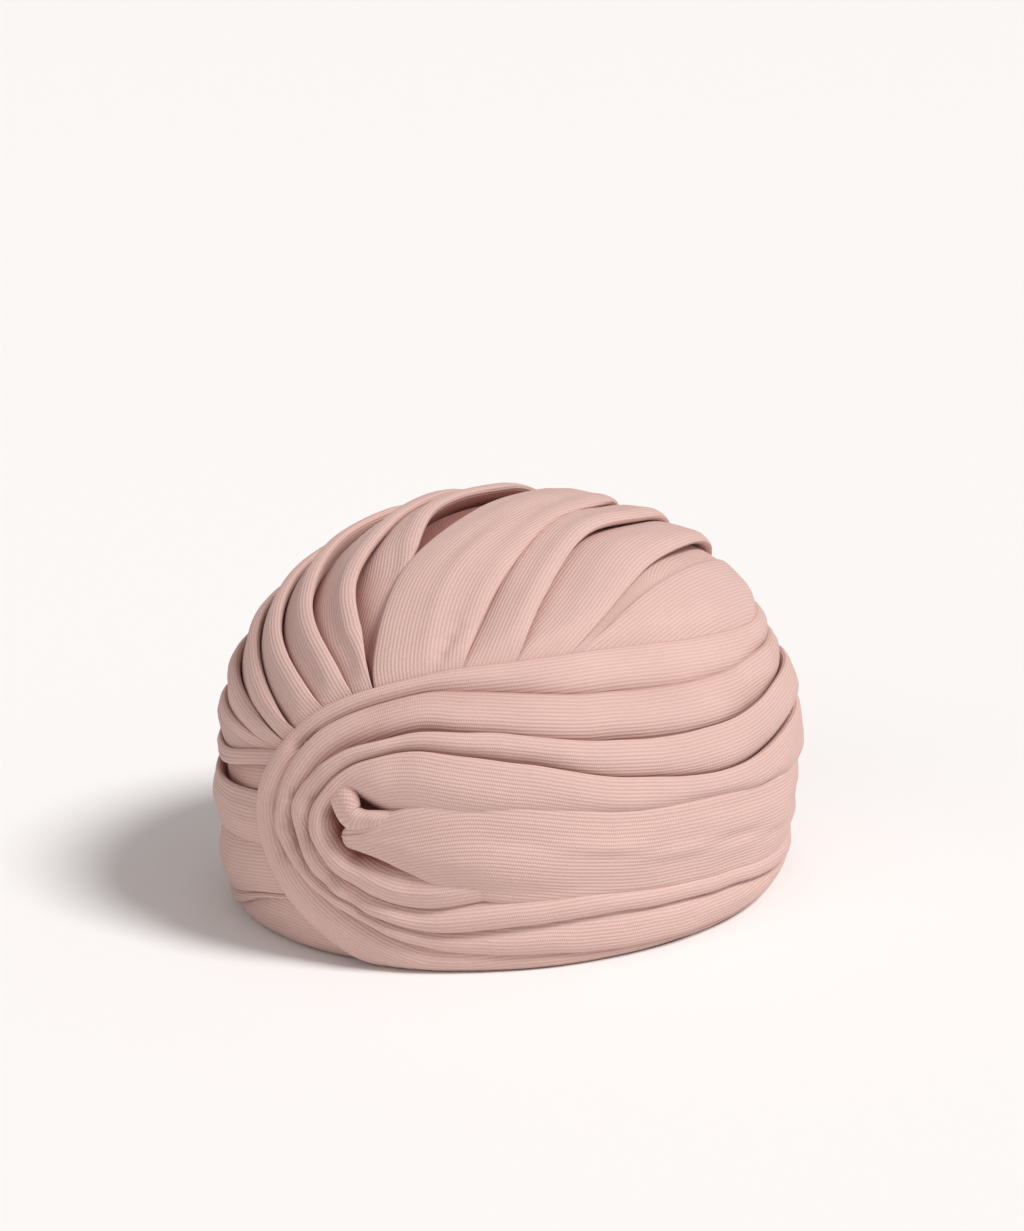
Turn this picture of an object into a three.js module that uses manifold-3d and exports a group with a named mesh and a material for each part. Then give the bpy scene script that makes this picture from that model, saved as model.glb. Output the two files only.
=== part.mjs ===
// Draped hat in pleated twill: a pleated crown, a gathered side band, a looped front wrap and a small twist.
// Millimetres, +Z up, the wearer faces -Y and the wearer's left is +X. The rim lies on z = 0.
import * as THREE from 'three';
import { mergeVertices } from 'three/addons/utils/BufferGeometryUtils.js';
import Module from 'manifold-3d';

const wasm = await Module();
wasm.setup();

// Mean outer surface of the cloth: an ellipsoid with a low upper half and a deep lower half
const HALF_WIDTH = 95;
const HALF_LENGTH = 112;
const WAIST_HEIGHT = 51;
const RISE = 87;
const SKIRT = 150;

// Layers, as heights above the mean surface
const HEAD_FACE = -9;
const CROWN_UNDER = -6.5;
const CROWN_INSIDE = -2.8;
const CROWN_WALL = 2.5;
const BACKING = -8;

// Gap kept between pieces, and half the angle that it takes at the centre back seam
const GAP = 0.35;
const SEAM = 0.1;

// Where a fold's raised edge sits beside its line: the crest behind it, the bulge beyond it and the tuck
// below it. All three come closer on folds narrower than the full width.
const CREST_SETBACK = 1.8;
const BULGE = 1.5;
const TUCK = 2.2;
const FULL_WIDTH = 7;
const FACE_PARTS = [0.4, 0.72];

// The cloth's finish
const CLOTH_ROUGHNESS = 0.92;

// Vertices closer than this are one
const WELD = 2e-3;

const radians = THREE.MathUtils.degToRad;
const lerp = THREE.MathUtils.lerp;
const centre = new THREE.Vector3(0, 0, WAIST_HEIGHT);

// The front wrap's lines, from the outer one inwards. Upper and lower give the elevation of each arm at
// ARM_AZIMUTHS, and bend gives the turn as three places of azimuth and elevation. Crest is the height of
// the raised edge at the back seam, the bend and the lower arm, and valley is where the next fold tucks in.
const ARM_AZIMUTHS = [180, 150, 122, 90, 60, 40, 20];
const WRAP_LINES = [
  {
    upper: [20, 24.5, 27.5, 31.5, 32.5, 30.3, 26.2],
    bend: [[0.5, 16.7], [-9.2, 1], [-3.5, -14]],
    lower: [-28.5, -29.5, -31, -32.5, -31, -29.5, -27.5],
    crest: [3.6, 4.6, 5],
    valley: -1,
  },
  {
    upper: [15.5, 19, 22, 23, 23.5, 24, 22.8],
    bend: [[3, 14.7], [-4.2, 2], [0.5, -9.8]],
    lower: [-22, -23, -25, -26.5, -25, -22.8, -19.8],
    crest: [3.2, 4.8, 5],
    valley: 1.2,
  },
  {
    upper: [10.5, 13, 15, 13, 14, 16, 16],
    bend: [[6.5, 10.2], [0, 1], [4.5, -9.8]],
    lower: [-18, -20.5, -22, -19.5, -17.5, -17, -16.8],
    crest: [4.6, 4.8, 5.4],
    valley: 0.8,
  },
  {
    upper: [5, 6, 6, 4, 7, 11, 12.7],
    bend: [[8.5, 7.8], [3.6, 0], [7.5, -7.5]],
    lower: [-11.5, -14.5, -17.5, -15.5, -12.4, -11.6, -13],
    crest: [5, 4.8, 3.6],
    valley: -0.8,
  },
  {
    upper: [-3, -5, -6, -3, -1, 1.5, 3],
    bend: [[10.2, 6.4], [6.8, 1.5], [9.6, -4.2]],
    lower: [-8, -10, -12, -11, -9, -8, -6.5],
    crest: [0, 0, 0],
    valley: 1.6,
  },
];

// The broad fold that comes out of the eye and bulges over the middle of the wrap's left side
const BROAD_AZIMUTHS = [8, 14, 21, 30, 40, 60, 90, 122, 150, 180];
const BROAD_FOLD = {
  upper: [-2.2, 0.9, 3.2, 4.8, 3.4, 1, -1, -4, -3, -1],
  lower: [-2.8, -4, -7, -10.6, -13, -14, -17, -19, -16, -13],
  edge: [2.4, 3.4, 4, 4.2, 4.4, 4.4, 4.2, 4, 4, 4],
  belly: [2.8, 4, 5, 5.6, 5.8, 5.8, 5.2, 4.8, 4.6, 4.4],
};

// The side band's lines from the top down, with their elevation at BAND_AZIMUTHS. Over is 1 where the
// fold above the line laps over the one below it, and -1 where the lower fold laps over the upper one.
const BAND_AZIMUTHS = [-180, -140, -100, -60, -30, -10, 15];
const BAND_RELIEF = [1, 1, 1, 1, 1, 0.7, 0.4];
const BAND_LINES = [
  { elevation: [20, 15.5, 10, 6, 5.2, 9, 12], crest: 1.8, valley: -1.6, over: -1 },
  { elevation: [15.5, 10.5, 6, 3.2, 3, 7, 10], crest: 2, valley: -0.6, over: 1 },
  { elevation: [9, 4, 1, -0.8, -1, 1, 4], crest: 2.6, valley: -1, over: -1 },
  { elevation: [-1, -5, -8, -9.5, -9.3, -7, -4], crest: 2.8, valley: 0.4, over: 1 },
  { elevation: [-13, -15.5, -18, -20.5, -21, -16.2, -11], crest: 3.2, valley: 1.2, over: 1 },
  { elevation: [-18, -19.5, -21.5, -23.8, -24, -17.3, -12], crest: 3.8, valley: 2, over: 1 },
  { elevation: [-31, -31, -33, -33, -31, -29, -28], crest: 0, valley: 3, over: 0 },
];

// The crown's pleats fan from a pole inside the eye. Turn gives each line's angle round the pole at
// CROWN_REACHES, the angles out from the pole, and over says which pleat laps over the other, as above,
// with 1 where the pleat on the wearer's right is on top.
const POLE_AZIMUTH = 20;
const POLE_ELEVATION = 7;
const CROWN_REACHES = [14, 25, 45, 70, 95, 130, 165];
const CROWN_RELIEF = [0.25, 0.45, 0.9, 1, 1, 0.8, 0.5];
const CROWN_LINES = [
  { turn: [-84, -82, -80, -80, -80, -80, -80], crest: 2.2, over: 1 },
  { turn: [-80, -78, -74, -72, -70, -70, -70], crest: 3, over: 1 },
  { turn: [-68, -66, -65, -60, -58, -58, -60], crest: 3.6, over: 1 },
  { turn: [-58, -57, -56, -50, -46, -46, -48], crest: 3.8, over: 1 },
  { turn: [-42, -42, -44, -37, -32, -33, -36], crest: 3.8, over: 1 },
  { turn: [-26, -27, -30, -23, -18, -20, -24], crest: 3.6, over: 1 },
  { turn: [-21, -21, -15, -14, -6, -8, -12], crest: 3.4, over: 1 },
  { turn: [16, 13, 11, 13, 19, 16, 10], crest: 3.4, over: 1 },
  { turn: [40, 36, 26, 23, 28, 28, 24], crest: 4.4, over: 1 },
  { turn: [46, 46, 43, 38.5, 39, 40, 38], crest: 5.4, over: 1 },
  { turn: [56, 53, 49, 45.5, 46.5, 47, 48], crest: 3, over: -1 },
];
const CROWN_VALLEY = -2;
const CROWN_MEAN = 2.2;
const CROWN_LAP = 5;
const CROWN_COVERED_TURNS = [75, 105, 140, 180, 220, 255];

// The twist in the eye: its two edges as azimuth and elevation, and the height of its back
const TWIST = {
  upper: [[7, 7.6], [9.3, 6.4], [12, 4.9], [15, 3.4], [19, 2.4]],
  lower: [[4.6, 5.4], [6.6, 3.2], [8.4, 0.6], [11.5, -0.6], [16, -0.4]],
  back: [1.6, 3, 3.2, 2.4, 1],
};

// Mesh of the plain domes, and the step of the wrap's run where its outer line passes the band's end
const DOME_SIDES = 30;
const DOME_ROWS = 15;
const WRAP_SHOULDER = 7;

// Unit direction from the centre: azimuth from the front towards the wearer's left, elevation upwards
function direction(azimuth, elevation) {
  const a = radians(azimuth);
  const e = radians(elevation);
  return new THREE.Vector3(Math.cos(e) * Math.sin(a), -Math.cos(e) * Math.cos(a), Math.sin(e));
}

// Point in a direction, at a height above the mean surface
function place(d, height) {
  const rise = d.z > 0 ? RISE : SKIRT;
  const normal = new THREE.Vector3(d.x / HALF_WIDTH ** 2, d.y / HALF_LENGTH ** 2, d.z / rise ** 2);
  const reach = 1 / Math.sqrt(d.dot(normal));
  return centre.clone().addScaledVector(d, reach).addScaledVector(normal.normalize(), height);
}

function between(from, to, fraction) {
  return from.clone().lerp(to, fraction).normalize();
}

// Width in millimetres between two directions
function widthOf(from, to) {
  return place(from, 0).distanceTo(place(to, 0));
}

// Smooth run through a few directions. Step 1.5 is halfway from the second to the third.
function runThrough(directions, steps) {
  const curve = new THREE.CatmullRomCurve3(directions, false, 'catmullrom', 0.5);
  return steps.map((step) => curve.getPoint(step / (directions.length - 1)).normalize());
}

// Value at a step between the values of a short list
function valueAt(values, step) {
  const first = Math.min(Math.floor(step), values.length - 2);
  return lerp(values[first], values[first + 1], step - first);
}

function stepsTo(last, each) {
  return Array.from({ length: last * each + 1 }, (_, i) => i / each);
}

// Closed geometry from vertices and triangles, with close vertices welded and its faces pointing out
function weldedGeometry(vertices, triangles) {
  const loose = new THREE.BufferGeometry().setFromPoints(vertices);
  loose.setIndex(triangles.flat());
  const merged = mergeVertices(loose, WELD);
  const index = merged.getIndex();
  const corner = (i) => new THREE.Vector3().fromBufferAttribute(merged.getAttribute('position'), i);
  const kept = [];
  let volume = 0;
  for (let i = 0; i < index.count; i += 3) {
    const [a, b, c] = [index.getX(i), index.getX(i + 1), index.getX(i + 2)];
    if (a !== b && b !== c && c !== a) {
      kept.push([a, b, c]);
      volume += corner(a).dot(corner(b).cross(corner(c)));
    }
  }
  merged.setIndex(kept.flatMap(([a, b, c]) => (volume > 0 ? [a, b, c] : [a, c, b])));
  return merged;
}

function solidFrom(vertices, triangles) {
  const geometry = weldedGeometry(vertices, triangles);
  const vertProperties = new Float32Array(geometry.getAttribute('position').array);
  const triVerts = new Uint32Array(geometry.getIndex().array);
  return new wasm.Manifold(new wasm.Mesh({ numProp: 3, vertProperties, triVerts }));
}

// Corners of a solid's mesh, and its triangles as threes of corner numbers
function meshOf(solid) {
  const { vertProperties, triVerts } = solid.getMesh();
  const position = new THREE.BufferAttribute(vertProperties, 3);
  const vertices = Array.from({ length: position.count }, (_, i) => {
    return new THREE.Vector3().fromBufferAttribute(position, i);
  });
  return [vertices, inThrees(triVerts)];
}

function inThrees(index) {
  return Array.from({ length: index.length / 3 }, (_, i) => Array.from(index.slice(3 * i, 3 * i + 3)));
}

// Solid swept through sections of equal length, each a closed loop of { point, across, height }
function sweep(sections) {
  const count = sections[0].length;
  const vertices = sections.flat().map((corner) => corner.point);
  const triangles = [];
  for (let s = 0; s < sections.length - 1; s += 1) {
    for (let i = 0; i < count; i += 1) {
      const [a, b] = [s * count + i, s * count + (i + 1) % count];
      triangles.push([a, b, b + count], [a, b + count, a + count]);
    }
  }
  const lid = (section, first) => {
    const outline = section.map(({ across, height }) => new THREE.Vector2(across, height));
    const faces = THREE.ShapeUtils.triangulateShape(outline, []);
    const ordered = THREE.ShapeUtils.isClockWise(outline) ? faces.map(([a, b, c]) => [a, c, b]) : faces;
    return ordered.map((face) => face.map((i) => first + i));
  };
  triangles.push(...lid(sections[0], 0).map(([a, b, c]) => [a, c, b]));
  triangles.push(...lid(sections.at(-1), (sections.length - 1) * count));
  return solidFrom(vertices, triangles);
}

// Points of a section across lapped folds. Each line has its place, crest, valley and over, which is 0
// where the section only passes or ends. Grow moves the surface out by that much, and a walled section
// starts with a plain wall in place of a tuck.
function foldPoints(lines, grow, walled) {
  const last = lines.length - 1;
  const widths = lines.slice(1).map((line, i) => widthOf(lines[i].at, line.at));
  const starts = widths.reduce((sums, width) => [...sums, sums.at(-1) + width], [0]);
  const spot = (i, across, height) => {
    const ahead = i === last || (across < 0 && i > 0) ? i - 1 : i + 1;
    const width = widths[Math.min(i, ahead)];
    const outside = (i === 0 && across < 0) || (i === last && across > 0);
    const shift = outside ? across : across * Math.min(1, width / FULL_WIDTH);
    const at = between(lines[i].at, lines[ahead].at, (ahead > i ? shift : -shift) / width);
    return { point: place(at, height + grow), across: starts[i] + shift, height: height + grow };
  };
  const pass = (i, part, height) => {
    const at = between(lines[i].at, lines[i + 1].at, part);
    return { point: place(at, height + grow), across: starts[i] + part * widths[i], height: height + grow };
  };
  return lines.flatMap((line, i) => {
    const edge = [];
    if (line.over === 0) {
      edge.push(spot(i, i === last ? 2 * grow : 0, line.valley));
    } else {
      edge.push(spot(i, line.over * -CREST_SETBACK, line.crest));
      edge.push(spot(i, line.over * (BULGE + 2 * grow), lerp(line.valley, line.crest, 0.5)));
      edge.push(spot(i, line.over * (walled && i === 0 ? BULGE + 2 * grow : -TUCK), line.valley));
    }
    if (line.over < 0) {
      edge.reverse();
    }
    if (i === last) {
      return edge;
    }
    const next = lines[i + 1];
    const from = line.over < 0 ? line.crest : line.valley;
    const to = next.over > 0 ? next.crest : next.valley;
    return [...edge, ...FACE_PARTS.map((part) => pass(i, part, lerp(from, to, part)))];
  });
}

// The back of such a section, from its last line to its first
function backPoints(lines, height, grow) {
  const widths = lines.slice(1).map((line, i) => widthOf(lines[i].at, line.at));
  const starts = widths.reduce((sums, width) => [...sums, sums.at(-1) + width], [0]);
  const margin = BULGE + 2 * grow;
  const outer = between(lines[0].at, lines[1].at, -margin / widths[0]);
  const corners = lines.map((line, i) => ({ point: place(line.at, height), across: starts[i], height }));
  corners[0] = { point: place(outer, height), across: -margin, height };
  return corners.reverse();
}

// Whole ellipsoid at a height from the mean surface
function dome(height) {
  const sphere = new THREE.SphereGeometry(1, DOME_SIDES, DOME_ROWS);
  const corners = sphere.getAttribute('position');
  const vertices = Array.from({ length: corners.count }, (_, i) => {
    return place(new THREE.Vector3(corners.getX(i), -corners.getZ(i), corners.getY(i)).normalize(), height);
  });
  return solidFrom(vertices, inThrees(sphere.getIndex().array));
}

// Direction at an angle out from the pole of the pleats and an angle round it
const pole = direction(POLE_AZIMUTH, POLE_ELEVATION);
const poleUp = new THREE.Vector3(0, 0, 1).projectOnPlane(pole).normalize();
const poleSide = poleUp.clone().cross(pole);
function roundPole(reach, turn) {
  const rim = poleUp.clone().multiplyScalar(Math.cos(radians(turn)));
  rim.addScaledVector(poleSide, Math.sin(radians(turn)));
  return pole.clone().multiplyScalar(Math.cos(radians(reach))).addScaledVector(rim, Math.sin(radians(reach)));
}

function pleatedDome() {
  const steps = stepsTo(CROWN_REACHES.length - 1, 3);
  const covered = CROWN_COVERED_TURNS.map((turn) => ({ turn: CROWN_REACHES.map(() => turn), over: 0 }));
  const rows = [...CROWN_LINES, ...covered];
  const runs = rows.map(({ turn }) => {
    return runThrough(turn.map((angle, i) => roundPole(CROWN_REACHES[i], angle)), steps);
  });
  const rings = steps.map((step, s) => {
    const relief = valueAt(CROWN_RELIEF, step);
    const lines = rows.map(({ crest, over }, i) => ({
      at: runs[i][s],
      crest: CROWN_MEAN + relief * (crest ?? 0),
      valley: CROWN_MEAN + (over === 0 ? 0 : relief * CROWN_VALLEY),
      over,
    }));
    return foldPoints(lines, 0, false);
  });
  const tip = (d) => rings[0].map(() => ({ point: place(d, CROWN_MEAN), across: 0, height: 0 }));
  return sweep([tip(pole), ...rings, tip(pole.clone().negate())]);
}

// Azimuth of a station, kept short of the centre back seam, or run past it for a grown piece
function seamed(azimuth, grow) {
  const end = grow > 0 ? 180 + 5 * SEAM : 180 - SEAM;
  return Math.abs(azimuth) === 180 ? Math.sign(azimuth) * end : azimuth;
}

function wrapRun(row, steps, grow) {
  const arm = (elevations) => {
    return elevations.map((elevation, i) => direction(seamed(ARM_AZIMUTHS[i], grow), elevation));
  };
  const bend = row.bend.map(([azimuth, elevation]) => direction(azimuth, elevation));
  return runThrough([...arm(row.upper), ...bend, ...arm(row.lower).reverse()], steps);
}

function bandRun(row, steps, grow) {
  const places = row.elevation.map((elevation, i) => direction(seamed(BAND_AZIMUTHS[i], grow), elevation));
  return runThrough(places, steps);
}

// All that lies above the top line of the wrap and the band, and a little below it
function aboveBands(lap) {
  const wrapSteps = stepsTo(WRAP_SHOULDER, 2);
  const bandSteps = stepsTo(BAND_AZIMUTHS.length - 2, 2).reverse();
  const edge = [...wrapRun(WRAP_LINES[0], wrapSteps, 0), ...bandRun(BAND_LINES[0], bandSteps, 0)];
  const reach = 2 * HALF_LENGTH;
  const ring = edge.map((d) => {
    const low = new THREE.Vector3(d.x, d.y, d.z - lap / HALF_LENGTH).normalize();
    return centre.clone().addScaledVector(low, reach);
  });
  const top = new THREE.Vector3(0, 0, 2 * reach);
  const triangles = ring.flatMap((_, i) => {
    const next = (i + 1) % ring.length;
    return [[ring.length, i, next], [ring.length + 1, next, i]];
  });
  return solidFrom([...ring, centre, top], triangles);
}

// Hollow of the crown: the head's room, and above the bands the room up to the pleats
function crownInside() {
  return dome(HEAD_FACE).add(dome(CROWN_INSIDE).intersect(aboveBands(CROWN_LAP - CROWN_WALL)));
}

// Runs of the wrap's loop: the upper arm from the back seam, the bend at the front and the lower arm
function loopedFolds(grow) {
  const steps = stepsTo(2 * ARM_AZIMUTHS.length + 2, 3);
  const runs = WRAP_LINES.map((row) => wrapRun(row, steps, grow));
  const [shoulder, bend] = [ARM_AZIMUTHS.length - 1, ARM_AZIMUTHS.length + 1];
  const sections = steps.map((step, s) => {
    const part = THREE.MathUtils.clamp((step - shoulder) / (bend - shoulder), 0, 2);
    const lines = WRAP_LINES.map((row, i) => ({
      at: runs[i][s],
      crest: valueAt(row.crest, part),
      valley: row.valley,
      over: i === WRAP_LINES.length - 1 ? 0 : -1,
    }));
    return [...foldPoints(lines, grow, true), ...backPoints(lines, BACKING, grow)];
  });
  return sweep(sections);
}

// Solid cushion between two runs of directions, with rounded edges and a bulging middle
function cushion(upper, lower, edge, belly, grow) {
  const sections = upper.map((top, s) => {
    const width = widthOf(top, lower[s]);
    const spot = (across, height) => {
      return { point: place(between(top, lower[s], across / width), height), across, height };
    };
    const setback = CREST_SETBACK * Math.min(1, width / FULL_WIDTH);
    return [
      spot(-BULGE - 2 * grow, BACKING),
      spot(-BULGE - 2 * grow, edge[s] / 2),
      spot(setback, edge[s] + grow),
      spot(width / 2, belly[s] + grow),
      spot(width - setback, edge[s] + grow),
      spot(width + BULGE + 2 * grow, edge[s] / 2),
      spot(width + BULGE + 2 * grow, BACKING),
    ];
  });
  return sweep(sections);
}

function broadFold(grow) {
  const steps = stepsTo(BROAD_AZIMUTHS.length - 1, 2);
  const run = (elevations) => {
    const places = elevations.map((elevation, i) => direction(seamed(BROAD_AZIMUTHS[i], grow), elevation));
    return runThrough(places, steps);
  };
  const edge = steps.map((step) => valueAt(BROAD_FOLD.edge, step));
  const belly = steps.map((step) => valueAt(BROAD_FOLD.belly, step));
  return cushion(run(BROAD_FOLD.upper), run(BROAD_FOLD.lower), edge, belly, grow);
}

function twistStrand() {
  const steps = stepsTo(TWIST.back.length - 1, 2);
  const run = (places) => runThrough(places.map(([azimuth, elevation]) => direction(azimuth, elevation)), steps);
  const belly = steps.map((step) => valueAt(TWIST.back, step));
  return cushion(run(TWIST.upper), run(TWIST.lower), belly.map((height) => 0.6 * height), belly, 0);
}

function bandFolds(grow) {
  const steps = stepsTo(BAND_AZIMUTHS.length - 1, 3);
  const runs = BAND_LINES.map((row) => bandRun(row, steps, grow));
  const sections = steps.map((step, s) => {
    const relief = valueAt(BAND_RELIEF, step);
    const lines = BAND_LINES.map(({ crest, valley, over }, i) => ({
      at: runs[i][s],
      crest: relief * crest,
      valley: relief * valley,
      over,
    }));
    return [...foldPoints(lines, grow, true), ...backPoints(lines, BACKING, grow)];
  });
  return sweep(sections);
}

function largestBody(solid) {
  return solid.decompose().reduce((best, body) => (body.volume() > best.volume() ? body : best));
}

const hat = new THREE.Group();

// Adds a solid's part above the rim as a named piece, without the crumbs that its cuts leave
function addPiece(name, solid, color) {
  const whole = largestBody(solidFrom(...meshOf(largestBody(solid.trimByPlane([0, 0, 1], 0)))));
  const material = new THREE.MeshStandardMaterial({ color, roughness: CLOTH_ROUGHNESS, metalness: 0 });
  const piece = new THREE.Mesh(weldedGeometry(...meshOf(whole)), material);
  piece.name = name;
  hat.add(piece);
}

// Each piece is cut clear of those that it lies on or meets
const underClear = dome(CROWN_UNDER + GAP);
const wrapClear = loopedFolds(GAP).add(broadFold(GAP));
const pleats = pleatedDome().intersect(aboveBands(CROWN_LAP)).subtract(wrapClear).subtract(bandFolds(GAP));

addPiece('crown_drape', dome(CROWN_UNDER).add(pleats).subtract(crownInside()), 0xdbb0a6);
addPiece('front_wrap', loopedFolds(0).add(broadFold(0)).subtract(underClear), 0xdcafa5);
addPiece('side_band', bandFolds(0).subtract(underClear).subtract(wrapClear), 0xd2a398);
addPiece('centre_twist', twistStrand().subtract(underClear).subtract(wrapClear), 0xd6a89c);

export default hat;
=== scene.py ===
import math

import bmesh
import bpy
import numpy as np
from mathutils import Matrix, Vector


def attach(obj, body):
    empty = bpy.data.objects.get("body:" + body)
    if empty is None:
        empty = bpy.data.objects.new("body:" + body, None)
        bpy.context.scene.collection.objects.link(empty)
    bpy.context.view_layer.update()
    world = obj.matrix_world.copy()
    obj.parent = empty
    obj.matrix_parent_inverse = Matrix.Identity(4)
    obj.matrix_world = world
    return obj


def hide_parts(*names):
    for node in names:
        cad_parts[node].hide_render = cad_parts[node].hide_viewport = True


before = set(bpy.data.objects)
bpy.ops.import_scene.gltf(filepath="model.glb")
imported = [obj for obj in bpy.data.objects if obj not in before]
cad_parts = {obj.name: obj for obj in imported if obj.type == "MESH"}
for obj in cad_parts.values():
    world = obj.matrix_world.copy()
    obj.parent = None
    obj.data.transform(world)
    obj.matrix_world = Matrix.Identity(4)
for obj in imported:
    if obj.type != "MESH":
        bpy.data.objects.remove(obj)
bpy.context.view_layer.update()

# Camera, set from the photograph's frame of 1024 by 1231 pixels
FRAME_WIDTH = 1024
FRAME_HEIGHT = 1231
LENS = 90
SENSOR = 36
VIEW_AZIMUTH = math.radians(38)
VIEW_ELEVATION = math.radians(14)
AIM_HEIGHT = 0.048
AIM_PIXEL = (510, 748)
PIXELS_PER_METRE = 2758


def make_camera():
    """The camera looks along the photograph's angle, and the aim point falls on its pixel."""
    data = bpy.data.cameras.new("camera")
    data.lens = LENS
    data.sensor_width = SENSOR
    data.dof.use_dof = False
    camera = bpy.data.objects.new("camera", data)
    bpy.context.scene.collection.objects.link(camera)
    a, e = VIEW_AZIMUTH, VIEW_ELEVATION
    back = Vector((math.sin(a) * math.cos(e), -math.cos(a) * math.cos(e), math.sin(e)))
    right = Vector((math.cos(a), math.sin(a), 0))
    up = back.cross(right)
    distance = LENS / SENSOR * FRAME_HEIGHT / PIXELS_PER_METRE
    across = (AIM_PIXEL[0] - FRAME_WIDTH / 2) / PIXELS_PER_METRE
    down = (AIM_PIXEL[1] - FRAME_HEIGHT / 2) / PIXELS_PER_METRE
    eye = Vector((0, 0, AIM_HEIGHT)) + back * distance - right * across + up * down
    turn = Matrix((right, up, back)).transposed().to_4x4()
    camera.matrix_world = Matrix.Translation(eye) @ turn
    data.clip_start = 0.05
    data.clip_end = 50
    bpy.context.scene.camera = camera


make_camera()

# Mean outer surface of the cloth, in millimetres: an ellipsoid with a low upper and a deep lower half
HALF_WIDTH = 95
HALF_LENGTH = 112
WAIST_HEIGHT = 51
RISE = 87
SKIRT = 150
CENTRE = np.array([0, 0, WAIST_HEIGHT])

# Layers, as heights above the mean surface
HEAD_FACE = -9
CROWN_UNDER = -6.5
BACKING = -6.1

# Lip of a fold: the crest stands back from its line, the nose runs past it and the root lies under it
SETBACK = 2.6
NOSE = 1.7
TUCK = 3.2
ROLL = 1.5
FULL_WIDTH = 8
RIDGE_WIDTH = 2.4

# Spacing of the points along and across the folds, in millimetres
STEP = 1.3
CROWN_STEP = 1.5
TWIST_STEP = 0.6

# Heights between which a point passes from the cloth's back to its outside
OUTER_FROM = -4
OUTER_TO = 1

# Unevenness of the cloth: length and width of its wrinkles and waves, and the height of the waves
WRINKLE_LENGTH = 34
WRINKLE_WIDTH = 5.5
WAVE_LENGTH = 23
WAVE_HEIGHT = 0.22

# A face has its full belly from this width on, and its full curve over this much more than the lips' width
BELLY_WIDTH = 12
CURVE_WIDTH = 5

# The rolled lower edge, and the seam at the centre back where the folds are pinched in
HEM_RADIUS = 5.0
SEAM_REACH = 6
SEAM_SHARE = 0.5
SEAM_DEPTH = 0.7

# The crown's smooth inside, from the rim up to near the top
RIM_HEIGHT = 0.6
RIM_RADIUS = 98
INSIDE_SIDES = 120
INSIDE_ROWS = 30
INSIDE_TOP = 88

# The front wrap's lines, from the outer one inwards, as azimuth and elevation
ARM_AZIMUTHS = [180, 150, 122, 90, 60, 40, 20]
WRAP_LINES = [
    dict(
        upper=[20, 24.5, 27.5, 31.5, 32.5, 30.3, 26.2],
        bend=[[0.5, 16.7], [-9.2, 1], [-3.5, -14]],
        lower=[-28.5, -29.5, -31, -32.5, -31, -29.5, -27.5],
        crest=[3.6, 4.6, 5],
        valley=-1,
    ),
    dict(
        upper=[15.5, 19, 22, 23, 23.5, 24, 22.8],
        bend=[[3, 14.7], [-4.2, 2], [0.5, -9.8]],
        lower=[-22, -23, -25, -26.5, -25, -22.8, -19.8],
        crest=[3.2, 4.8, 5],
        valley=-2.4,
    ),
    dict(
        upper=[10.5, 13, 15, 13, 14, 16, 16],
        bend=[[6.5, 10.2], [0, 1], [4.5, -9.8]],
        lower=[-18, -20.5, -22, -19.5, -17.5, -17, -16.8],
        crest=[4.8, 4.8, 5.4],
        valley=-3.2,
    ),
    dict(
        upper=[5, 6, 6, 4, 7, 11, 12.7],
        bend=[[8.5, 7.8], [3.6, 0], [7.5, -7.5]],
        lower=[-11.5, -14.5, -17.5, -15.5, -12.4, -11.6, -13],
        crest=[5.2, 4.8, 4.2],
        valley=-4,
    ),
    dict(
        upper=[-3, -5, -6, -3, -1, 1.2, 1.2],
        bend=[[10.5, 4.4], [7, 1.3], [9.6, -4.2]],
        lower=[-8, -10, -12, -11, -9, -8, -6.5],
        crest=[0, 0, 0],
        valley=-1.8,
    ),
]

# Dents in the wrap and the crown: fold, azimuth, elevation, radius and depth
WRAP_DENTS = [
    (0, -0.8, 11.6, 3, 3),
    (0, 1.2, 13.2, 2.6, 2),
    (0, -4.3, 1, 3, 1.5),
    (0, -3.8, -3.4, 3.2, 3),
    (0, -2.8, -6.4, 3.2, 3.4),
    (1, -1.2, 2.5, 2.6, 2),
    (1, -1.2, -1.6, 3.2, 4),
    (1, -0.4, -4.4, 3.2, 5),
    (1, 1.0, -7.2, 3, 3),
    (2, 2.4, 3, 3, 1.5),
    (2, 2.6, -2.5, 3.2, 2.6),
    (2, 6.0, -9.8, 4, 2),
    (2, 10.5, -13.5, 4.5, 1.6),
    (3, 7.0, 1.5, 3, 2.6),
    (3, 8.4, -2.0, 3, 3.4),
    (3, 11, -5, 2.6, 2),
]
CROWN_DENTS = [
    (7, 22.4, 28, 2.6, 2),
    (7, 23.2, 30.8, 2.4, 1.9),
    (7, 24.2, 33.6, 2.4, 1.5),
    (7, 25.4, 36.6, 2.4, 0.8),
]

DENT_HEIGHT = 3.0

# The wrap's innermost fold sinks where it leaves the bend, between these steps along it
SINKING_LINE = 3
SINKING_DEPTH = 2.6
SINKING_STEPS = (10.3, 11.4)

# The broad fold over the middle of the wrap's left side
BROAD_AZIMUTHS = [8, 14, 21, 30, 40, 60, 90, 122, 150, 180.1]
BROAD_UPPER = [-1.4, 0.9, 3.4, 5, 4.2, 1, -1, -4, -3, -1]
BROAD_LOWER = [-3.4, -4.2, -7, -11.2, -13, -14, -17, -19, -16, -13]
TIP_RUN = [0, 0.06, 0.2, 0.45, 0.8, 1.25, 1.8, 2.5, 3.3]
BROAD_EDGE = [2.4, 3.4, 3.8, 3.4, 4.2, 4.4, 4.2, 4, 4, 4]
BROAD_BELLY = [2.8, 4, 5, 5.6, 5.8, 5.8, 5.2, 4.8, 4.6, 4.4]
BROAD_COLUMNS = 22

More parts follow.
